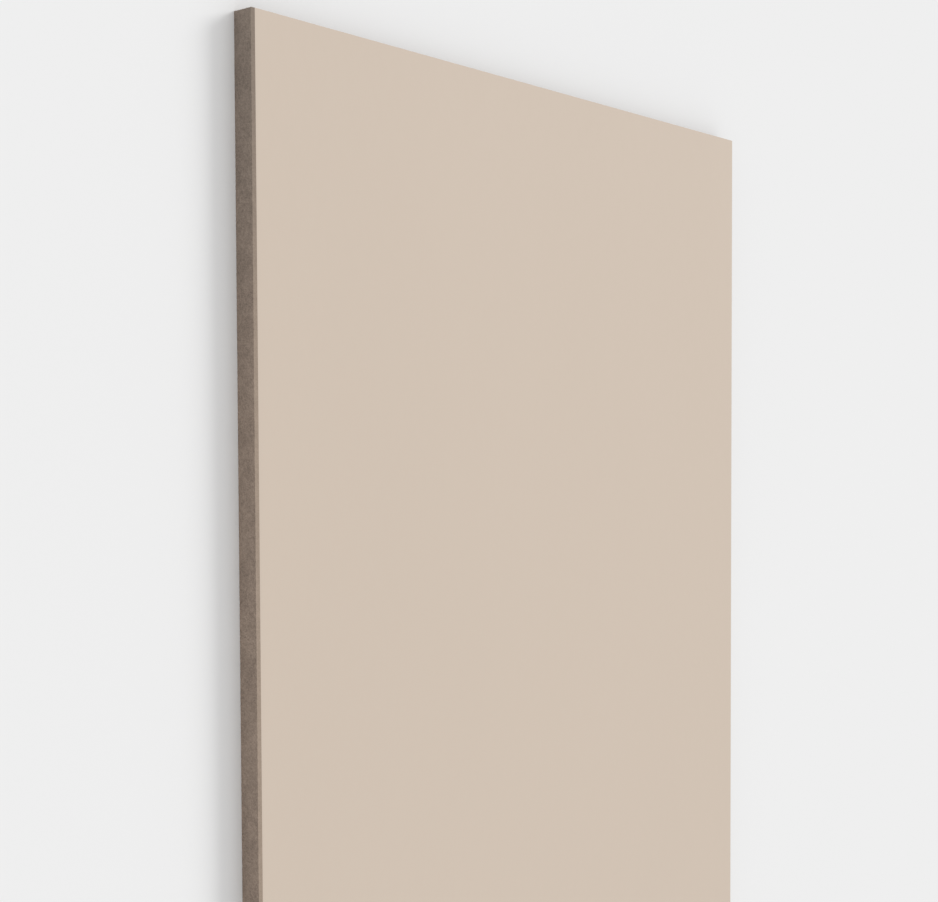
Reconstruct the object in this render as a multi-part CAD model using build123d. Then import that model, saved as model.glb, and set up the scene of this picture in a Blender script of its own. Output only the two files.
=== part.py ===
from build123d import *
import os

# PVC foam board: one rectangular sheet lying flat, beige face up.
# X runs across the width, Y along the length and Z up out of the beige face.
# The origin is under the middle of the sheet. Sizes are in millimetres.

# Trimmed size of the sheet, a half width and a half length of full stock
BOARD_WIDTH = 610.0
BOARD_LENGTH = 1220.0
BOARD_THICKNESS = 16.0

# Shallow bevel planed along one long edge of the face, through the skin into the foam
BEVEL_WIDTH = 3.2
BEVEL_DEPTH = 0.3

# Section across the width, seen looking along the length, bevel on the -X side
half_width = BOARD_WIDTH / 2
section_corners = [
    (-half_width, 0),
    (half_width, 0),
    (half_width, BOARD_THICKNESS),
    (-half_width + BEVEL_WIDTH, BOARD_THICKNESS),
    (-half_width, BOARD_THICKNESS - BEVEL_DEPTH),
]

# The board comes off the line as this one section, drawn out along Y and sawn square at both ends
with BuildPart() as board:
    with BuildSketch(Plane.XZ):
        with BuildLine():
            Polyline(*section_corners, close=True)
        make_face()
    extrude(amount=BOARD_LENGTH / 2, both=True)

os.makedirs("parts", exist_ok=True)
export_step(board.part, "parts/foam_board.step")
print("foam_board", board.part.bounding_box().size, round(board.part.volume), "mm3")
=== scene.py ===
# %% [markdown]
# This lesson makes one PVC foam board. The real thing is a flat sheet of rigid foamed PVC, lying on the
# floor with its beige face up. A smooth, closed skin covers both faces. The saw has cut through the
# foam on all four sides, so the edges are rougher and darker, and a narrow bevel along one long edge
# shows the same bare foam. The sizes could be typed in again here, but then the looks and the solid
# might come to disagree. So the board's measured frame is loaded first, and every size is read from it.

# %% Load the board's frame
import math

import bpy
from mathutils import Matrix, Vector, noise


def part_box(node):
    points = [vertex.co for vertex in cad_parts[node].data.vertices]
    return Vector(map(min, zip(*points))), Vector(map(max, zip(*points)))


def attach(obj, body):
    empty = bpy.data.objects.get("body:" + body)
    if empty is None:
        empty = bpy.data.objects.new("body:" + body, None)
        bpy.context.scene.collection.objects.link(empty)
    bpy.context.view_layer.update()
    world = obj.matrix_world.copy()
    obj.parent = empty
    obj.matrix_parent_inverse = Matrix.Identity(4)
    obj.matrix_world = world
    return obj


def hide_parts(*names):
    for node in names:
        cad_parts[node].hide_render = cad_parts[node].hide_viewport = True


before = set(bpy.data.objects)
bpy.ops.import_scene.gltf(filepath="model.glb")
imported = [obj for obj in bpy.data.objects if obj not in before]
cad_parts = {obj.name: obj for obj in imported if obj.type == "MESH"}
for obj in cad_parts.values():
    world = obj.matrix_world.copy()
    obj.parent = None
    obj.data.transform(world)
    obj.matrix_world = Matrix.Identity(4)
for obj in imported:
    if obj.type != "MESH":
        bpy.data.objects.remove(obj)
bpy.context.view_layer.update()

low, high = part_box("foam_board")
print("board from", low, "to", high)

# %% [markdown]
# The bevel isn't in the box's six numbers, but its two rims are corners of the loaded solid. Its lower
# rim is the highest corner on the left side, and its upper rim is the leftmost corner of the top face.
# It could be measured once and written down, but read like this it follows the solid when that changes.

# %% Read the bevel off the solid
MM_PER_METRE = 1000
SAME_PLACE = 1e-5
left, right = low[0], high[0]
near, far = low[1], high[1]
base, top = low[2], high[2]
solid_corners = [corner.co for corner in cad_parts["foam_board"].data.vertices]
lower_rim_z = max(corner.z for corner in solid_corners if corner.x < left + SAME_PLACE)
upper_rim_x = min(corner.x for corner in solid_corners if corner.z > top - SAME_PLACE)
bevel_width = upper_rim_x - left
bevel_depth = top - lower_rim_z
print(f"bevel {bevel_width * MM_PER_METRE:.2f} mm wide, {bevel_depth * MM_PER_METRE:.2f} mm deep")

# %% [markdown]
# A procedural finish is mostly arithmetic: a pattern times a strength, one minus a mask. A Math node
# could be wired by hand for each sign, but that is slow to read. So one small class holds a socket and
# turns Python's own signs into Math nodes. Every other node comes from its `node` method: the type,
# then the settings, then what goes into the sockets. A Mix node has an A and a B for every kind of
# value, all under the same two names, so its colour sockets go by number.

# %% Make sockets that take part in sums
MIX_FIRST, MIX_SECOND, MIX_RESULT = 6, 7, 2


class Wire:
    def __init__(self, tree, socket=None):
        self.tree = tree
        self.socket = socket

    def node(self, kind, settings=None, sockets=None, output=0):
        made = self.tree.nodes.new(kind)
        for name, value in (settings or {}).items():
            setattr(made, name, value)
        for name, value in (sockets or {}).items():
            if isinstance(value, Wire):
                self.tree.links.new(value.socket, made.inputs[name])
            else:
                made.inputs[name].default_value = value
        return Wire(self.tree, made.outputs[output] if made.outputs else None)

    def maths(self, operation, first, second):
        return self.node("ShaderNodeMath", {"operation": operation}, {0: first, 1: second})

    def __add__(self, other):
        return self.maths("ADD", self, other)

    def __sub__(self, other):
        return self.maths("SUBTRACT", self, other)

    def __rsub__(self, other):
        return self.maths("SUBTRACT", other, self)

    def __mul__(self, other):
        return self.maths("MULTIPLY", self, other)

    __radd__ = __add__
    __rmul__ = __mul__

    def either(self, other):
        return self.maths("MAXIMUM", self, other)

    def ramp(self, start, end):
        spread = {"From Min": start, "From Max": end, "Value": self}
        return self.node("ShaderNodeMapRange", {"interpolation_type": "SMOOTHSTEP"}, spread)

    def blend(self, first, second):
        colours = {"Factor": self, MIX_FIRST: first, MIX_SECOND: second}
        return self.node("ShaderNodeMix", {"data_type": "RGBA"}, colours, output=MIX_RESULT)


print("sockets can now be added, subtracted, multiplied, ramped and blended")

# %% [markdown]
# Each finish starts in the same way: a material with one Principled shader, and the place of every
# point on the board in metres. The patterns could follow a texture map instead, but a place in metres
# has no seams, and a cloud of two millimetres is then a true size on the real board. A factor below one
# on the place along the length draws a pattern out that way, as the rolls of a sheet line do.

# %% Start a material and its patterns
def start_finish(name):
    material = bpy.data.materials.new(name)
    material.use_nodes = True
    shader = material.node_tree.nodes["Principled BSDF"]
    place = Wire(material.node_tree).node("ShaderNodeTexCoord", output="Object")
    return material, shader, place


def plug(source, shader, name):
    source.tree.links.new(source.socket, shader.inputs[name])


def stretched(place, along):
    factors = {0: place, 1: (1.0, along, 1.0)}
    return place.node("ShaderNodeVectorMath", {"operation": "MULTIPLY"}, factors)


def cloud(place, size, detail=2.0):
    return place.node("ShaderNodeTexNoise", None, {"Vector": place, "Scale": 1 / size, "Detail": detail})


print(f"patterns run over {right - left:.2f} by {far - near:.2f} m of board")

# %% [markdown]
# Paint programs write a colour as three numbers up to 255, spaced as the eye sees them. Blender's
# sockets want amounts of light instead. Amounts could be written straight away, but the usual numbers
# are easier to compare with a colour card, so each of them goes through the standard sRGB curve.

# %% Turn a written colour into light
WRITTEN_WHITE = 255
KNEE, SLOPE = 0.04045, 12.92
LIFT, POWER = 0.055, 2.4


def light_amount(written):
    share = written / WRITTEN_WHITE
    if share <= KNEE:
        return share / SLOPE
    return ((share + LIFT) / (1 + LIFT)) ** POWER


def from_srgb(red, green, blue):
    return (light_amount(red), light_amount(green), light_amount(blue), 1.0)


print(f"a written grey of 128 is {light_amount(128):.3f} of full light")

# %% [markdown]
# Foamed PVC cools against polished rolls, which closes its surface into a smooth matte skin. It is an
# even warm beige: from a step away nothing shows on it, and close up there is a slight ripple and a
# fine matte tooth. One flat colour would look like card, and a strong pattern like stone. So the colour
# moves by about one part in a hundred only, the tooth goes into the roughness, and the ripple is a bump
# two hundredths of a millimetre high.

# %% Make the skin
SKIN_LIGHT = from_srgb(209, 194, 179)
SKIN_DEEP = from_srgb(206, 191, 176)
SKIN_SPAN = (0.3, 0.8)
DRIFT_SIZE, DRIFT_ALONG, DRIFT_TINT = 0.22, 0.3, 0.35
RIPPLE_SIZE, RIPPLE_ALONG, RIPPLE_TINT = 0.006, 0.5, 0.1
RIPPLE_HEIGHT = 0.00002
TOOTH_SIZE = 0.0008
SKIN_ROUGHNESS, RIPPLE_ROUGHNESS, TOOTH_ROUGHNESS = 0.64, 0.06, 0.08
SHINE = 0.12


def make_skin():
    material, shader, place = start_finish("beige_skin")
    drift = cloud(stretched(place, DRIFT_ALONG), DRIFT_SIZE)
    ripple = cloud(stretched(place, RIPPLE_ALONG), RIPPLE_SIZE, detail=1.0)
    tooth = cloud(place, TOOTH_SIZE)
    depth = drift.ramp(*SKIN_SPAN) * DRIFT_TINT + ripple.ramp(*SKIN_SPAN) * RIPPLE_TINT
    plug(depth.blend(SKIN_LIGHT, SKIN_DEEP), shader, "Base Color")
    roughness = SKIN_ROUGHNESS + ripple * RIPPLE_ROUGHNESS + tooth * TOOTH_ROUGHNESS
    plug(roughness, shader, "Roughness")
    raised = {"Height": ripple, "Distance": RIPPLE_HEIGHT}
    plug(place.node("ShaderNodeBump", None, raised), shader, "Normal")
    shader.inputs["Specular IOR Level"].default_value = SHINE
    return material


beige_skin = make_skin()
print("made", beige_skin.name)

# %% [markdown]
# Where a blade goes through the foam, the closed cells are torn open. The cut is a darker taupe than
# the skin, with a fine speckle of random tone, a little deeper in tone towards the far end. The hollow
# of each cell doesn't catch light, and that darkening is painted shade in the colour. The larger hollows
# are real dents in the mesh further down. The mesh will carry their depth as an attribute called `pits`,
# so the colour can darken exactly where the dents are, as painted shade. The smallest cells are only
# pores, which would need millions of faces as mesh, so a cell pattern draws them in colour, as painted
# shade, and in bump.

# %% Write the recipe for bare foam
# The dark colour below is painted shade for the pits and pores, and also the tone of the random grain.
SHADE_AND_GRAIN_TONE = from_srgb(84, 74, 66)
# How strongly the dented pits darken the colour, as painted shade.
PIT_SHADE_TINT = 0.8
PORE_SIZE, PORE_SPAN, PORE_DEPTH = 0.00045, (0.1, 0.55), 0.5
TORN_SIZE, TORN_TINT = 0.001, 0.7
BLOTCH_SIZE, BLOTCH_TINT = 0.012, 0.35
GRAIN_SPAN = (0.3, 0.7)
FOAM_ROUGHNESS, TORN_ROUGHNESS = 0.82, 0.15
TONE_REACH = 0.30


def make_foam(name, tone, far_tone, shade_and_grain_share, pore_shade_share, relief):
    material, shader, place = start_finish(name)
    dented = place.node("ShaderNodeAttribute", {"attribute_name": "pits"}, output="Fac")
    cells = place.node("ShaderNodeTexVoronoi", None, {"Vector": place, "Scale": 1 / PORE_SIZE})
    pores = 1 - cells.ramp(*PORE_SPAN)
    torn = cloud(place, TORN_SIZE, detail=3.0)
    blotch = cloud(place, BLOTCH_SIZE)
    along = place.node("ShaderNodeSeparateXYZ", None, {0: place}, output="Y")
    foam = along.ramp(far - TONE_REACH, far).blend(tone, far_tone)
    grain = torn.ramp(*GRAIN_SPAN) * TORN_TINT + blotch.ramp(*GRAIN_SPAN) * BLOTCH_TINT
    # Painted shade: the colour darkens in the dented pits and in the pores; torn grain and blotches add
    # random tone.
    shade_and_grain = (dented * PIT_SHADE_TINT + grain) * shade_and_grain_share
    plug((shade_and_grain + pores * pore_shade_share).blend(foam, SHADE_AND_GRAIN_TONE), shader, "Base Color")
    plug(FOAM_ROUGHNESS + torn * TORN_ROUGHNESS, shader, "Roughness")
    raised = {"Height": torn - pores * PORE_DEPTH, "Distance": relief}
    plug(place.node("ShaderNodeBump", None, raised), shader, "Normal")
    shader.inputs["Specular IOR Level"].default_value = SHINE
    return material


print(f"foam pores {PORE_SIZE * MM_PER_METRE:.2f} mm, torn grain {TORN_SIZE * MM_PER_METRE:.2f} mm")

# %% [markdown]
# The board shows its foam in two ways. A saw leaves the cells open. A plane smears them shut, so the
# bevel is smoother and carries less painted shade in its pits and pores, which makes it paler. Two
# materials could be drawn one by one, but it is the same foam, so one recipe makes both, with less of
# everything on the bevel.

# %% Make the sawn and the planed foam
SAWN_TONE = from_srgb(175, 156, 141)
SAWN_FAR_TONE = from_srgb(158, 144, 132)
PLANED_TONE = from_srgb(176, 158, 142)
PLANED_FAR_TONE = from_srgb(151, 137, 125)
# The bevel gets less painted shade in its pits and pores than the sawn sides.
sawn_foam = make_foam("sawn_foam", SAWN_TONE, SAWN_FAR_TONE,
                      shade_and_grain_share=0.38, pore_shade_share=0.22, relief=0.0002)
planed_foam = make_foam("planed_foam", PLANED_TONE, PLANED_FAR_TONE,
                        shade_and_grain_share=0.2, pore_shade_share=0.08, relief=0.00005)
print("made", sawn_foam.name, "and", planed_foam.name)

# %% [markdown]
# The saw cut has a real relief. A bump alone would vanish at the outline, and a displaced cube would
# spend most of its corners on the flat faces. So the mesh is laid out corner by corner: a net of corners
# under a millimetre apart runs round the four sides only. The steps across the bevel are also the first
# steps of the two ends, so that neighbouring nets meet corner to corner. The bevel is smoother, so its
# steps may be a little wider.

# %% Work out the steps along the edges
STEP = 0.0009
BEVEL_STEPS = 3


def steps(start, end, count=None):
    count = count or round(abs(end - start) / STEP)
    return [start + (end - start) * i / count for i in range(count + 1)]


length_steps = steps(near, far)
bevel_steps = steps(left, upper_rim_x, BEVEL_STEPS)
width_steps = bevel_steps[:-1] + steps(upper_rim_x, right)
side_steps = round((top - base) / STEP)
print(len(length_steps), "corners along,", len(width_steps), "across,", side_steps, "steps up a side")

# %% [markdown]
# Both the sides and the faces follow the rim of the board. The route runs against the clock, seen from
# above: up the right side, back across the far end, down the left side and across the near end. Faces
# laid in this order all look outwards. Blender could turn them round afterwards, but this way there is
# nothing to turn. The rim of the top face starts at the bevel, so the route takes the place to start at.

# %% Plan the route round the rim
def rim_sides(first_x):
    across = [x for x in width_steps if x >= first_x - SAME_PLACE]
    return [
        [(right, y) for y in length_steps],
        [(x, far) for x in reversed(across)],
        [(first_x, y) for y in reversed(length_steps)],
        [(x, near) for x in across],
    ]


print(sum(len(side) - 1 for side in rim_sides(left)), "corners round the rim")

# %% [markdown]
# A cut through foam is pitted where it opened a cell, and gritty in between. Random numbers would give
# sand, not cells. Blender's cell noise gives the distance to the nearest cell middle, which is turned
# into a shallow cup, and a fractal cloud gives the grit. Both are read at the place in space, so they
# run on round the corners, and they are the same on every run. The depth comes out as a share of the
# deepest pit, which serves the mesh and the colour alike.

# %% Measure a pit
CUP_SPACING = 0.0021
CUP_REACH = 0.7
CUP_SHARE = 0.6
GRIT_SIZE = 0.0016
GRIT_FADE, GRIT_RATIO, GRIT_LAYERS = 1.0, 2.0, 2


def pit_at(place):
    nearest = noise.voronoi(place / CUP_SPACING)[0][0]
    cup = max(0.0, 1 - nearest / CUP_REACH)
    grit = 0.5 + 0.5 * noise.fractal(place / GRIT_SIZE, GRIT_FADE, GRIT_RATIO, GRIT_LAYERS)
    return CUP_SHARE * cup * (2 - cup) + (1 - CUP_SHARE) * min(1.0, max(0.0, grit))


sample = [pit_at(Vector((left, y, (base + top) / 2))) for y in length_steps]
print(f"pits along a side: {min(sample):.2f} to {max(sample):.2f}, mean {sum(sample) / len(sample):.2f}")

# %% [markdown]
# A side is a net of rows. Each row holds its places and the push that a full-depth pit gives them. The
# corners could move along their normals, but a pit that goes straight into its own side leaves the rest
# of the side flat. The push is weaker at the two rims, where a saw leaves a cleaner line. The bevel is a
# few more rows on top of the left side. Its pits are shallow, and they end at the skin.

# %% Make the rows of a side
PIT_DEPTH = 0.0003
RIM_SHARE = 0.5
PLANED_SHARE = 0.15


def top_at(x):
    slope = min(1.0, (x - left) / bevel_width)
    return lower_rim_z + bevel_depth * slope


def side_rows(plan, inwards):
    rows = []
    for row in range(side_steps + 1):
        share = RIM_SHARE if row in (0, side_steps) else 1.0
        line = [(x, y, base + (top_at(x) - base) * row / side_steps) for x, y in plan]
        rows.append((line, Vector(inwards) * PIT_DEPTH * share))
    return rows


def bevel_rows(plan):
    shares = [PLANED_SHARE] * (BEVEL_STEPS - 1) + [0.0]
    rows = []
    for x, share in zip(bevel_steps[1:], shares):
        line = [(x, y, top_at(x)) for _, y in plan]
        rows.append((line, Vector((0, 0, -PIT_DEPTH * share))))
    return rows


left_height = (top_at(left) - base) * MM_PER_METRE
right_height = (top_at(right) - base) * MM_PER_METRE
print(f"the left side is {left_height:.1f} mm high, the right one {right_height:.1f} mm")

# %% [markdown]
# The finishes can be baked onto a picture for other programs, so each face needs a spot on a texture
# map. An automatic unwrap would keep a long side in one thin strip, hardly a dozen pixels high. Here a
# side is cut into strips, stacked like lengths of tape, and each strip runs across the whole map.

# %% Plan the strips of the texture map
STRIPS_ALONG = 3
STRIP_GAP = 0.0008
strip_columns = math.ceil((len(length_steps) - 1) / STRIPS_ALONG)
strips_across = math.ceil((len(width_steps) - 1) / strip_columns)
strips = 2 * (STRIPS_ALONG + strips_across)
tape = strip_columns * STEP
strip_room = (top - base + bevel_width + STRIP_GAP) / tape


def strip_spots(first_strip, step_along, step_up):
    strip, column = divmod(step_along, strip_columns)
    foot = (first_strip + strip) * strip_room
    u = [column / strip_columns, (column + 1) / strip_columns]
    v = [foot + step_up * STEP / tape, foot + (step_up + 1) * STEP / tape]
    return [(u[0], v[0]), (u[1], v[0]), (u[1], v[1]), (u[0], v[1])]


print(strips, "strips on the texture map, each", strip_columns, "faces long")

# %% [markdown]
# The real board is one closed body. Its sides and faces could be six meshes that are welded afterwards,
# but a weld can miss a corner. Here a place that has been used before simply gives the number it had,
# so there is nothing to weld. Each face also notes the finish it wears and its spots on the texture map.

# %% Keep the corners and the faces
PLACES_PER_METRE = 1e7
FINISHES = [beige_skin, sawn_foam, planed_foam]
places, dents, pits = [], [], []
number_of = {}
faces, face_finishes, face_spots = [], [], []


def corner_number(place):
    key = tuple(round(value * PLACES_PER_METRE) for value in place)
    if key not in number_of:
        number_of[key] = len(places)
        places.append(Vector(place))
        dents.append(Vector())
        pits.append(pit_at(places[-1]))
    return number_of[key]


def add_face(numbers, finish, spots):
    faces.append(numbers)
    face_finishes.append(FINISHES.index(finish))
    face_spots.extend(spots)


print("a face wears one of", [finish.name for finish in FINISHES])

# %% [markdown]
# Now the four sawn sides can be laid. Neighbouring rows are joined into faces of four corners, as in a
# grid. Blender's own grid could be bent into place, but rows of any places let a net go on over the
# bevel. A corner that two sides share gets the push of both.

# %% Lay the nets of the four sides
def add_net(rows, finishes, first_strip):
    numbered = []
    for row, push in rows:
        numbered.append([corner_number(place) for place in row])
        for number in numbered[-1]:
            dents[number] += push * pits[number]
    for up, (lower, upper, finish) in enumerate(zip(numbered, numbered[1:], finishes)):
        for i in range(len(lower) - 1):
            square = (lower[i], lower[i + 1], upper[i + 1], upper[i])
            add_face(square, finish, strip_spots(first_strip, i, up))


right_plan, far_plan, left_plan, near_plan = rim_sides(left)
sawn = [sawn_foam] * side_steps
left_rows = side_rows(left_plan, (1, 0, 0)) + bevel_rows(left_plan)
add_net(side_rows(right_plan, (-1, 0, 0)), sawn, 0)
add_net(side_rows(far_plan, (0, -1, 0)), sawn, STRIPS_ALONG)
add_net(left_rows, sawn + [planed_foam] * BEVEL_STEPS, STRIPS_ALONG + strips_across)
add_net(side_rows(near_plan, (0, 1, 0)), sawn, 2 * STRIPS_ALONG + strips_across)
print(len(faces), "faces on the sides and the bevel")

# %% [markdown]
# A flat face could be one polygon with thousands of corners on its rim, but a renderer cuts that into
# long slivers, which trace slowly. So the face is built from a few rings. Each ring lies further in and
# keeps every fourth corner of the one before, until a small plain polygon closes the middle.

# %% Draw the rings in from the rim
THIN = 4
RINGS = 3
ring_insets = [STEP * THIN ** ring for ring in range(1, RINGS + 1)]


def drawn_in(sides, inset, first_x):
    middle = ((first_x + right) / 2, (near + far) / 2)
    half = ((right - first_x) / 2, (far - near) / 2)

    def moved(point):
        return tuple(m + (value - m) * (1 - inset / h) for value, m, h in zip(point, middle, half))

    return [[moved(point) for point in side] for side in sides]


print("rings lie", [round(inset * MM_PER_METRE, 1) for inset in ring_insets], "mm inside the rim")

# %% [markdown]
# The two faces wear the skin. The front ends at the bevel and the back at the left side, so one
# function lays both and takes the place where a face starts. The back runs the other way round, so that
# it looks down. On the texture map the faces could have most of the room, as they do on the board, but
# an even skin needs few pixels, so they share what the strips leave over.

# %% Lay the two faces
FACE_FILL = 0.99
face_room = (1 - strips * strip_room) / 2


def add_flat_face(first_x, height, faces_up):
    foot = 1 - face_room if faces_up else 1 - 2 * face_room
    order = 1 if faces_up else -1

    def face_spot(x, y):
        across = (x - left) / (right - left)
        return ((y - near) / (far - near), foot + face_room * FACE_FILL * across)

    def add_plain(plan):
        numbers = [corner_number((x, y, height)) for x, y in plan[::order]]
        add_face(numbers, beige_skin, [face_spot(x, y) for x, y in plan[::order]])

    rim = rim_sides(first_x)
    outer = rim
    for inset in ring_insets:
        rim = [side[:-1:THIN] + side[-1:] for side in rim]
        inner = drawn_in(rim, inset, first_x)
        for outer_side, inner_side in zip(outer, inner):
            for i in range(len(inner_side) - 1):
                piece = outer_side[i * THIN:(i + 1) * THIN + 1]
                add_plain(piece + [inner_side[i + 1], inner_side[i]])
        outer = inner
    add_plain([point for side in outer for point in side[:-1]])


add_flat_face(upper_rim_x, top, faces_up=True)
add_flat_face(left, base, faces_up=False)
print(len(places), "corners and", len(faces), "faces in all")

# %% [markdown]
# The dents are added to the places, and the mesh takes its finishes, its texture map and the pits that
# the foam's colour reads. Shaded flat, every little face of the cut would show. So the foam shades
# smoothly and its pits look round, with a hard line wherever two sides meet at a steep angle, and only
# the skin is shaded flat.

# %% Make the mesh of the board
HARD_LINE = math.radians(50)
board_mesh = bpy.data.meshes.new("foam_board_sheet")
board_mesh.from_pydata([place + dent for place, dent in zip(places, dents)], [], faces)
for finish in FINISHES:
    board_mesh.materials.append(finish)
board_mesh.polygons.foreach_set("material_index", face_finishes)
board_mesh.polygons.foreach_set("use_smooth", [FINISHES[f] is not beige_skin for f in face_finishes])
board_mesh.set_sharp_from_angle(angle=HARD_LINE)
board_mesh.attributes.new("pits", "FLOAT", "POINT").data.foreach_set("value", pits)
texture_map = board_mesh.uv_layers.new(name="OFBake")
texture_map.uv.foreach_set("vector", [value for spot in face_spots for value in spot])
board_mesh.update()
board_mesh.calc_loop_triangles()
deepest = max(dent.length for dent in dents)
print(f"pits up to {deepest * MM_PER_METRE:.2f} mm deep,", len(board_mesh.loop_triangles), "triangles")

# %% [markdown]
# The plain solid could wear the finishes itself, but it has no pits. So the mesh takes its place to be
# looked at, and the solid stays behind it for weight and contact. The board is one piece of stock with
# nothing on it that moves, so it rides on the frame's one body.

# %% Make the board an object on the frame
board = bpy.data.objects.new("foam_board_sheet", board_mesh)
bpy.context.scene.collection.objects.link(board)
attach(board, "root")
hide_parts("foam_board")
print(board.name, "stands for the plain solid")

# %% [markdown]
# The board lies on a plain pale floor. A backdrop that curves up would do from one side only, so the
# floor is flat and wide enough to reach the horizon from low down. It is a hair lower than the board's
# back, so the two never share a surface. A faint cloud keeps it from being one dead colour, and it has
# no shine, so it mirrors nothing.

# %% Lay the floor
FLOOR_HALF = 12.0
FLOOR_GAP = 0.0001
FLOOR_CLOUD = 0.8
FLOOR_GREY = from_srgb(240, 240, 240)
FLOOR_SHADE = from_srgb(238, 238, 238)
floor_mesh = bpy.data.meshes.new("floor")
floor_corners = [(-1, -1), (1, -1), (1, 1), (-1, 1)]
floor_places = [(x * FLOOR_HALF, y * FLOOR_HALF, base - FLOOR_GAP) for x, y in floor_corners]
floor_mesh.from_pydata(floor_places, [], [(0, 1, 2, 3)])
floor_finish, floor_shader, floor_place = start_finish("pale_floor")
plug(cloud(floor_place, FLOOR_CLOUD).blend(FLOOR_GREY, FLOOR_SHADE), floor_shader, "Base Color")
floor_shader.inputs["Roughness"].default_value = 1.0
floor_shader.inputs["Specular IOR Level"].default_value = 0.0
floor_mesh.materials.append(floor_finish)
floor = bpy.data.objects.new("floor", floor_mesh)
bpy.context.scene.collection.objects.link(floor)
print("floor", FLOOR_HALF * 2, "m wide")

# %% [markdown]
# The face of the board is evenly lit and its left side is in shade, so the main light comes from the
# right and the far end. It could be an area lamp, but that would light the near part of the floor more
# than the rest. A sun lamp lights all of it alike, and a wide disc keeps it soft. The sun and the sky
# together add up to one on a level face, so a colour renders as it is written.

# %% Hang the sun
SKY_SHARE = 0.78
SUN_RISE = math.radians(28)
SUN_TURN = math.radians(27)
SUN_DISC = math.radians(24)
sun_from = Vector((math.cos(SUN_TURN) * math.cos(SUN_RISE),
                   math.sin(SUN_TURN) * math.cos(SUN_RISE),
                   math.sin(SUN_RISE)))
sun_light = bpy.data.lights.new("soft_sun", "SUN")
sun_light.energy = (1 - SKY_SHARE) * math.pi / math.sin(SUN_RISE)
sun_light.angle = SUN_DISC
sun = bpy.data.objects.new("soft_sun", sun_light)
sun.rotation_euler = sun_from.to_track_quat("Z", "Y").to_euler()
bpy.context.scene.collection.objects.link(sun)
print("sun strength", round(sun_light.energy, 2))

# %% [markdown]
# The sky gives the rest of the light, white and even from every side. Looked at directly, or in a
# reflection, it would be darker than the floor and draw a line at the horizon. So those rays see the
# floor's own grey instead, and the floor and the sky run into one plain backdrop.

# %% Light the sky
WHITE = (1.0, 1.0, 1.0, 1.0)
world = bpy.data.worlds.new("studio_sky")
world.use_nodes = True
bpy.context.scene.world = world
world.node_tree.nodes.clear()
sky = Wire(world.node_tree)
camera_ray = sky.node("ShaderNodeLightPath", output="Is Camera Ray")
glossy_ray = sky.node("ShaderNodeLightPath", output="Is Glossy Ray")
through_ray = sky.node("ShaderNodeLightPath", output="Is Transmission Ray")
seen = camera_ray.either(glossy_ray).either(through_ray)
lighting = sky.node("ShaderNodeBackground", None, {"Color": WHITE, "Strength": SKY_SHARE})
backdrop = sky.node("ShaderNodeBackground", None, {"Color": FLOOR_GREY, "Strength": 1.0})
shown = sky.node("ShaderNodeMixShader", None, {0: seen, 1: lighting, 2: backdrop})
sky.node("ShaderNodeOutputWorld", None, {"Surface": shown})
print("sky gives", SKY_SHARE, "of the light on a level face")

# %% [markdown]
# The camera is to the left of the board and looks down on it, with its top turned along the length, so
# that the length is upright in the picture. Its place, its aim and its lens were worked out from the
# board's straight edges, which lean towards vanishing points. A track-to constraint could aim it, but
# the three axes are written out here, because they also take the last lean of a quarter of a degree.

# %% Place the camera
IMAGE_WIDTH = 938
FOCAL_PIXELS = 1430.4
SENSOR_WIDTH = 36.0
EYE = Vector((-0.9171, 0.3622, 0.6963))
AIM = Vector((-0.0920, 0.3251, 0.0160))
LEAN = math.radians(-0.226)
along_board = Vector((0, 1, 0))
camera_data = bpy.data.cameras.new("camera")
camera_data.sensor_width = SENSOR_WIDTH
camera_data.lens = FOCAL_PIXELS / IMAGE_WIDTH * SENSOR_WIDTH
backward = (EYE - AIM).normalized()
sideways = along_board.cross(backward).normalized()
turned = Matrix((sideways, backward.cross(sideways), backward)).transposed().to_4x4()
camera = bpy.data.objects.new("camera", camera_data)
camera.matrix_world = Matrix.Translation(EYE) @ turned @ Matrix.Rotation(LEAN, 4, "Z")
bpy.context.scene.collection.objects.link(camera)
bpy.context.scene.camera = camera
bpy.context.scene.view_settings.view_transform = "Standard"
print(f"lens {camera_data.lens:.1f} mm")
